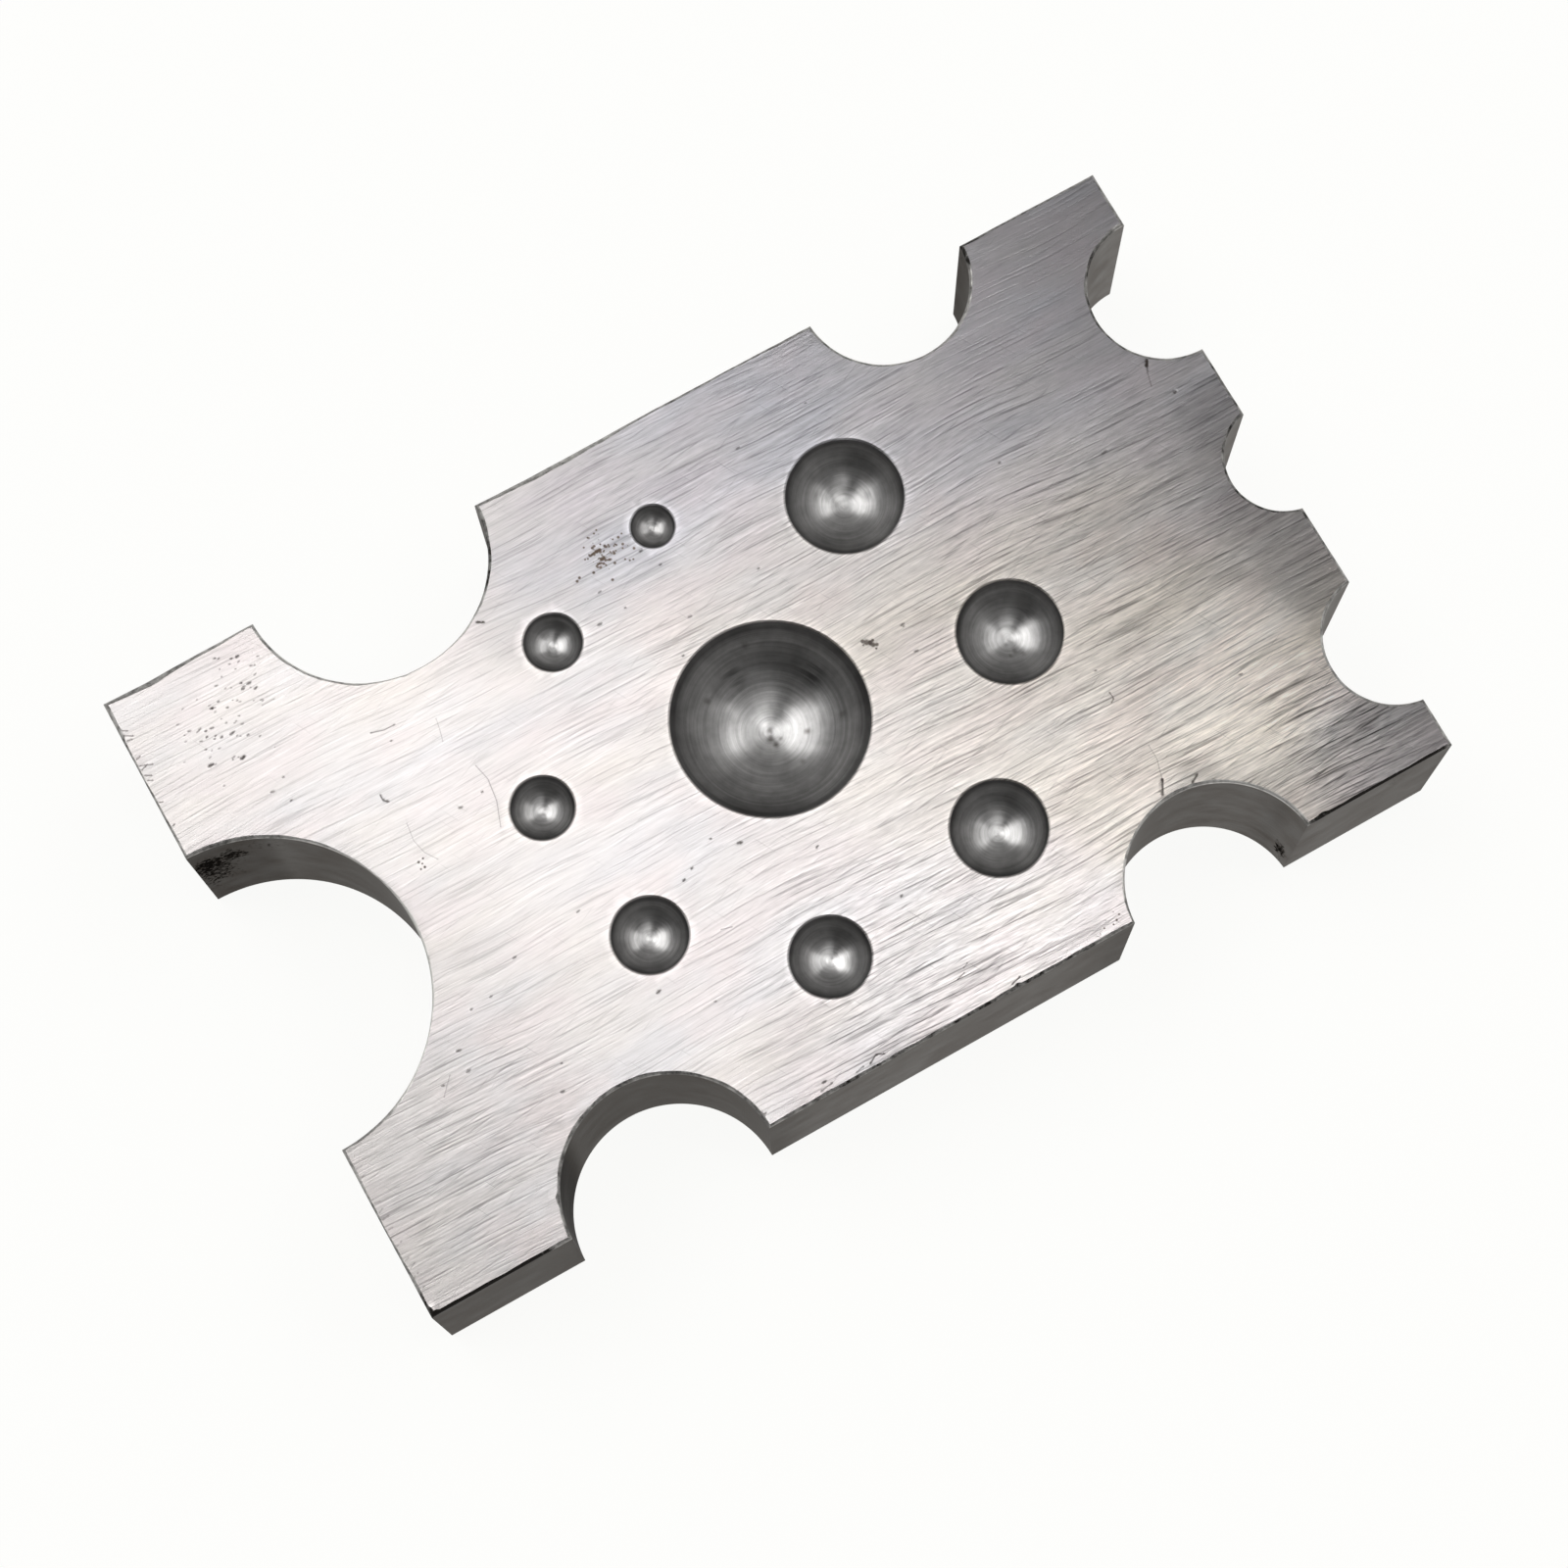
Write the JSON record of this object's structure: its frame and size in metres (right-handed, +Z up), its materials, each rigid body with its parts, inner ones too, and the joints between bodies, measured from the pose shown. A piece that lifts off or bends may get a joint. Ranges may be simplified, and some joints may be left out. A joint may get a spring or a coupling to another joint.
{
  "type": "dapping block",
  "caption": "Flat steel doming plate with graded round cups in its face and graded half-round notches through its four edges, for shaping sheet metal.",
  "frame": {"origin": "middle of the plate's flat underside", "axes": "+X along the length towards the end with several notches, +Y across the plate, +Z up out of the cupped face"},
  "size_m": [0.0936, 0.057, 0.016],
  "materials": {
    "ground_steel": "ground and brushed along the length, turned in the cups, worn"
  },
  "bodies": {
    "root": {"dapping_block": "ground_steel"}
  },
  "joints": []
}
